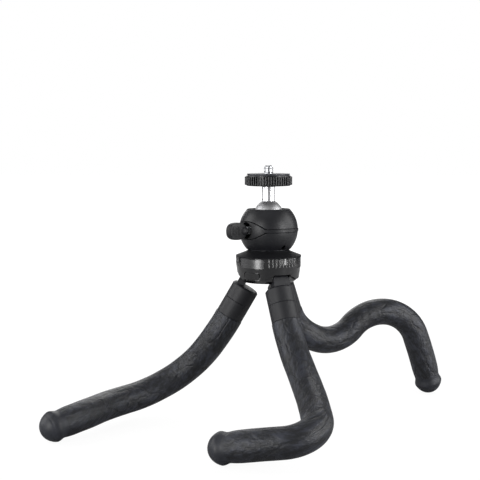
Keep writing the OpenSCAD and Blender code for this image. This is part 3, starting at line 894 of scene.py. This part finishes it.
class TRIPOD_OT_ball(bpy.types.Operator):
    """Makes the chrome ball with its stem and the threaded camera screw"""

    bl_idname = "tripod.ball"
    bl_label = "Ball and camera screw"

    def execute(self, context):
        low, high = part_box("ball_stem")
        ball = high.x
        centre = low.z + ball
        stem, fillet = settings().head.stem_radius, 0.6 * MM
        meet = math.degrees(math.asin((stem + fillet) / (ball + fillet)))
        height = centre + (ball + fillet) * math.cos(math.radians(meet))
        profile = [(0, low.z)] + arc((0, centre), ball, -89, 90 - meet, 48)
        profile += arc((stem + fillet, height), fillet, 270 - meet, 180, 5)
        edge = 0.3 * MM
        profile += arc((stem - edge, high.z - edge), edge, 0, 90, 4)
        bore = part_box("camera_screw")[1].x + SCREW_ROOM
        profile += [(bore, high.z), (bore, centre), (0, centre)]
        piece = new_piece("ball_and_stem", lathe("ball_and_stem", profile, 128), "ball_chrome")
        settle(piece, "ball", "ball_chrome", "ball_stem")
        low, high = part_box("camera_screw")
        pitch, radius = settings().head.camera_pitch, high.x
        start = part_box("lock_ring")[0].z
        core, tip = radius - THREAD_DEPTH * pitch, 0.9 * MM
        profile = [(0, low.z - start), (core, low.z - start), (core, high.z - start - tip)]
        profile += [(core - 0.8 * tip, high.z - start), (0, high.z - start)]
        mesh = threaded_rod(
            "camera_screw_thread", lathe("camera_screw_core", profile, 48), radius, pitch,
            high.z - start - tip, "screw_steel",
        )
        mesh.transform(Matrix.Translation((0, 0, start)))
        screw = new_piece("camera_screw_threaded", mesh, "screw_steel")
        settle(screw, "ball", "screw_steel", "camera_screw")
        return {"FINISHED"}


def lock_axis():
    """Frame of the lock screw: +Z out of the head along the screw, with its origin on the head's axis"""
    joint = JOINTS["lock_turn"]
    out = Vector(joint["axis"]).normalized()
    up = Vector((0, 0, 1))
    side = up.cross(out)
    place = Matrix((side, up, out)).transposed().to_4x4()
    return Matrix.Translation(joint["pos_m"]) @ place


def reach_along(node, direction, centre):
    """Least and greatest distance of a node's points along a direction"""
    spans = [(vertex.co - centre).dot(direction) for vertex in frame["nodes"][node].data.vertices]
    return min(spans), max(spans)


class TRIPOD_OT_lock_screw(bpy.types.Operator):
    """Makes the threaded lock screw and its oval ribbed wing"""

    bl_idname = "tripod.lock_screw"
    bl_label = "Lock screw and wing"

    def execute(self, context):
        place = lock_axis()
        out, centre = place.to_3x3() @ Vector((0, 0, 1)), place.translation
        up, side = Vector((0, 0, 1)), place.to_3x3() @ Vector((1, 0, 0))
        start, end = reach_along("lock_screw", out, centre)
        radius = reach_along("lock_screw", up, centre)[1]
        pitch = settings().head.lock_pitch
        core = radius - THREAD_DEPTH * pitch
        profile = [(0, 0), (core, 0), (core, end - start), (0, end - start)]
        mesh = threaded_rod(
            "lock_screw_thread", lathe("lock_screw_core", profile, 40), radius, pitch,
            end - start - pitch, "shaded_lock_steel",
        )
        mesh.transform(place @ Matrix.Translation((0, 0, start)))
        settle(new_piece("lock_screw_threaded", mesh, "shaded_lock_steel"), "lock", "screw_steel", "lock_screw")
        inner, outer = reach_along("lock_wing", out, centre)
        half_h = reach_along("lock_wing", up, centre)[1]
        hub_r = reach_along("lock_wing", side, centre)[1]
        mesh = wing_mesh(outer - inner, half_h, WING_HALF_THICKNESS, hub_r, radius)
        mesh.transform(place @ Matrix.Translation((0, 0, inner)))
        settle(new_piece("lock_wing_ribbed", mesh, "wing_plastic"), "lock", "wing_plastic", "lock_wing")
        return {"FINISHED"}


def wing_mesh(length, half_height, half_thickness, hub_radius, bore):
    """Oval wing along +Z with a pillow section, a hub towards the head and upright ribs on both faces"""
    shape = bmesh.new()
    around, layers, power, rounding = 72, 10, 2.6, 1.2 * MM
    rows = []
    for layer in range(-layers, layers + 1):
        share = layer / layers
        grow = (1 - abs(share) ** 4.0) ** 0.25
        thickness = half_thickness * share
        draw_in = rounding * (1 - grow)
        row = []
        for step in range(around):
            angle = 2 * math.pi * step / around
            c, s = math.cos(angle), math.sin(angle)
            high = (half_height - draw_in) * math.copysign(abs(s) ** (2 / power), s)
            far = length / 2 + (length / 2 - draw_in) * math.copysign(abs(c) ** (2 / power), c)
            row.append(shape.verts.new((thickness, high, far)))
        rows.append(row)
    for low, high in zip(rows, rows[1:]):
        for step in range(around):
            after = (step + 1) % around
            shape.faces.new((low[step], low[after], high[after], high[step]))
    shape.faces.new(rows[0])
    shape.faces.new(rows[-1])
    inside, edge, straight, whole, taper = bore + SCREW_ROOM, 0.4 * MM, 3.2 * MM, 4.6 * MM, 0.9 * MM
    hub = [(inside, 0), (hub_radius - edge, 0)]
    hub += arc((hub_radius - edge, edge), edge, -90, 0, 4)
    hub += [(hub_radius, straight), (hub_radius - taper, whole), (inside, whole)]
    shape.from_mesh(open_lathe("wing_hub", hub, 64))
    body = closed_mesh("wing_body", shape, 40)
    return ribbed_wing("lock_wing_ribs", body, length, half_height, half_thickness)


def ribbed_wing(name, body, length, half_height, half_thickness):
    """Adds rows of upright ribs to both faces of the wing"""
    count, rib_radius = settings().head.wing_ribs, 0.45 * MM
    tree = NodeTree(name)
    count_in = tree.input("Ribs", "NodeSocketInt", count)
    pitch_in = tree.input("Pitch", "NodeSocketFloat", 1.3 * MM)
    height_in = tree.input("Height", "NodeSocketFloat", 1.25 * half_height)
    face_in = tree.input("Face", "NodeSocketFloat", half_thickness - 0.12 * MM)
    start_in = tree.input("Start", "NodeSocketFloat", 0.42 * length)
    rib = tree.add(
        "GeometryNodeMeshUVSphere", None, {"Segments": 10, "Rings": 12, "Radius": rib_radius}
    )
    rise = tree.math("DIVIDE", height_in, 2 * rib_radius)
    size = tree.add("ShaderNodeCombineXYZ", None, {"X": 1.0, "Y": 1.0, "Z": rise})
    tall = tree.add("GeometryNodeTransform", None, {"Geometry": rib, "Scale": size})
    turned = {"Geometry": tall, "Rotation": (math.pi / 2, 0, 0)}
    upright = tree.add("GeometryNodeTransform", None, turned)
    step = tree.add("ShaderNodeCombineXYZ", None, {"Z": pitch_in})
    rows = []
    for sign in (-1, 1):
        across = tree.math("MULTIPLY", face_in, float(sign))
        first = tree.add("ShaderNodeCombineXYZ", None, {"X": across, "Z": start_in})
        line = tree.add(
            "GeometryNodeMeshLine", None, {"Count": count_in, "Start Location": first, "Offset": step}
        )
        rows.append(tree.add("GeometryNodeInstanceOnPoints", None, {"Points": line, "Instance": upright}))
    joined = tree.add("GeometryNodeJoinGeometry", None, {0: [tree.source.outputs[0], *rows]})
    return tree.mesh(name, body, joined, "wing_plastic")


# Solids that keep their shape


class TRIPOD_OT_solid_finishes(bpy.types.Operator):
    """Gives the solids that stay in view their finishes"""

    bl_idname = "tripod.solid_finishes"
    bl_label = "Finishes of the solids"

    def execute(self, context):
        plan = {
            "housing_plastic": ["lower_shell", "upper_shell"],
            "cone_plastic": ["base_cone"],
            "band_plastic": ["clamp_band"],
            "collar_plastic": ["base_collar", "base_floor"],
            "plate_gloss": ["side_plates"],
            "foot_rubber": ["neck_washer"],
            "small_steel": ["base_screws", "hinge_pins", "head_bolt", "grub_screw"],
            "nylon": ["ball_seat", "brake_pad"],
            "knuckle_plastic": [f"{leg}_{part}" for leg in LEGS for part in ("knuckle", "ferrule")],
            "wire_aluminium": [f"{leg}_wire_{k}" for leg in LEGS for k in range(1, STRETCHES + 1)],
        }
        for material, nodes in plan.items():
            for node in nodes:
                for slot in frame["nodes"][node].material_slots:
                    slot.material = finish(material)
        return {"FINISHED"}


# Studio


class TRIPOD_OT_stage(bpy.types.Operator):
    """Makes the pale floor, the soft lights, the white surroundings and the camera"""

    bl_idname = "tripod.stage"
    bl_label = "Stage"

    def execute(self, context):
        self.floor()
        self.surroundings()
        self.lights()
        self.dark_cards()
        self.camera()
        context.scene.view_settings.view_transform = "Standard"
        return {"FINISHED"}

    def floor(self):
        size = 6.0
        mesh = bpy.data.meshes.new("floor")
        corners = [(-size, -size, 0), (size, -size, 0), (size, size, 0), (-size, size, 0)]
        mesh.from_pydata(corners, [], [(0, 1, 2, 3)])
        floor = bpy.data.objects.new("floor", mesh)
        bpy.context.scene.collection.objects.link(floor)
        shader = Shader("floor")
        shader.finish(base_color=rgba(settings().colours.floor), roughness=0.8)
        seen = shader.add("ShaderNodeLightPath", output="Is Camera Ray")
        mirrored = shader.add("ShaderNodeLightPath", output="Is Glossy Ray")
        white = shader.add("ShaderNodeEmission", None, {"Color": (1, 1, 1, 1), "Strength": 1.2})
        plain = Value(shader, shader.surface.outputs[0])
        away = shader.length(shader.place())
        seen_share = shader.ramp(away, 0.3, 0.8, 0.78, 1.0)
        mirrored_share = shader.ramp(away, 0.15, 0.7, 0.02, 0.3)
        share = seen * seen_share + mirrored * mirrored_share
        mixed = shader.add("ShaderNodeMixShader", None, {0: share, 1: plain, 2: white})
        output = shader.tree.nodes["Material Output"]
        shader.tree.links.new(mixed.socket, output.inputs["Surface"])
        mesh.materials.append(shader.material)

    def surroundings(self):
        fill, in_mirrors = 0.04, 0.22
        world = bpy.data.worlds.new("surroundings")
        bpy.context.scene.world = world
        world.use_nodes = True
        tree = world.node_tree
        tree.nodes.clear()
        path = tree.nodes.new("ShaderNodeLightPath")
        mirrored = tree.nodes.new("ShaderNodeMath")
        mirrored.operation = "MULTIPLY"
        mirrored.inputs[1].default_value = in_mirrors
        tree.links.new(path.outputs["Is Glossy Ray"], mirrored.inputs[0])
        seen = tree.nodes.new("ShaderNodeMath")
        seen.operation = "MAXIMUM"
        tree.links.new(path.outputs["Is Camera Ray"], seen.inputs[0])
        tree.links.new(mirrored.outputs[0], seen.inputs[1])
        strength = tree.nodes.new("ShaderNodeMapRange")
        strength.inputs["To Min"].default_value = fill
        strength.inputs["To Max"].default_value = 1.0
        tree.links.new(seen.outputs[0], strength.inputs["Value"])
        light = tree.nodes.new("ShaderNodeBackground")
        light.inputs["Color"].default_value = (1, 1, 1, 1)
        tree.links.new(strength.outputs[0], light.inputs["Strength"])
        output = tree.nodes.new("ShaderNodeOutputWorld")
        tree.links.new(light.outputs[0], output.inputs["Surface"])

    def lights(self):
        centre = Vector((0, 0, 0.09))
        plan = {
            "left_light": ((-0.85, 0.10, 0.45), (0.70, 0.70), 5.7),
            "right_light": ((0.85, 0.15, 0.40), (0.70, 0.70), 6.3),
            "back_light": ((-0.10, 0.85, 0.55), (0.80, 0.80), 5.5),
            "top_light": ((-0.10, -0.25, 0.95), (0.60, 0.60), 0.8),
            "left_strip": ((-0.585, -0.75, 0.14), (0.28, 0.76), 9.5),
            "right_strip": ((0.80, -0.51, 0.14), (0.17, 0.76), 9.5),
        }
        for name, (spot, size, power) in plan.items():
            data = bpy.data.lights.new(name, "AREA")
            data.shape = "RECTANGLE"
            data.size, data.size_y = size
            data.energy = power
            lamp = bpy.data.objects.new(name, data)
            lamp.visible_camera = False
            lamp.location = Vector(spot)
            lamp.rotation_euler = (centre - Vector(spot)).to_track_quat("-Z", "Y").to_euler()
            bpy.context.scene.collection.objects.link(lamp)

    def dark_cards(self):
        """Upright black cards behind the tripod that only mirrors see, so that chrome has dark edges"""
        half_width, tall = 0.27, 1.2
        shader = Shader("dark_card")
        shader.finish(base_color=rgba((0.01, 0.01, 0.01)), roughness=1.0)
        for name, spot in {"left_card": (-0.557, 0.502), "right_card": (0.557, 0.502)}.items():
            mesh = bpy.data.meshes.new(name)
            out = Vector((*spot, 0))
            side = Vector((out.y, -out.x, 0)).normalized() * half_width
            feet = (out - side, out + side)
            heads = [point + Vector((0, 0, tall)) for point in feet]
            mesh.from_pydata([*feet, *reversed(heads)], [], [(0, 1, 2, 3)])
            mesh.materials.append(shader.material)
            card = bpy.data.objects.new(name, mesh)
            card.visible_camera = card.visible_diffuse = card.visible_shadow = False
            card.visible_transmission = card.visible_volume_scatter = False
            bpy.context.scene.collection.objects.link(card)

    def camera(self):
        view = settings().view
        target = Vector((0, 0, view.target_height))
        back = Vector((0, -math.cos(view.elevation), math.sin(view.elevation)))
        data = bpy.data.cameras.new("camera")
        data.sensor_width = 36.0
        data.sensor_fit = "HORIZONTAL"
        data.lens = data.sensor_width * view.distance / (view.pixel * view.picture)
        data.shift_x = (view.picture / 2 - view.target_x) / view.picture
        data.shift_y = (view.target_y - view.picture / 2) / view.picture
        camera = bpy.data.objects.new("camera", data)
        camera.location = target + back * view.distance
        camera.rotation_euler = (-back).to_track_quat("-Z", "Y").to_euler()
        bpy.context.scene.collection.objects.link(camera)
        bpy.context.scene.camera = camera


class TRIPOD_PT_panel(bpy.types.Panel):
    """Lists the steps that dress the tripod"""

    bl_label = "Flexible leg tripod"
    bl_idname = "TRIPOD_PT_panel"
    bl_space_type = "VIEW_3D"
    bl_region_type = "UI"
    bl_category = "Tripod"

    def draw(self, context):
        for step in STEPS:
            self.layout.operator(step.bl_idname)


STEPS = (
    TRIPOD_OT_stage,
    TRIPOD_OT_leg_rubber,
    TRIPOD_OT_feet,
    TRIPOD_OT_lock_ring,
    TRIPOD_OT_ball,
    TRIPOD_OT_lock_screw,
    TRIPOD_OT_solid_finishes,
)
CLASSES = (
    TripodLegSizes,
    TripodHeadSizes,
    TripodColours,
    TripodView,
    TripodSettings,
    *STEPS,
    TRIPOD_PT_panel,
)


def register():
    for item in CLASSES:
        bpy.utils.register_class(item)
    bpy.types.Scene.tripod = bpy.props.PointerProperty(type=TripodSettings)


def unregister():
    del bpy.types.Scene.tripod
    for item in reversed(CLASSES):
        bpy.utils.unregister_class(item)


def main():
    register()
    for step in STEPS:
        group, name = step.bl_idname.split(".")
        getattr(getattr(bpy.ops, group), name)()


if __name__ == "__main__":
    main()
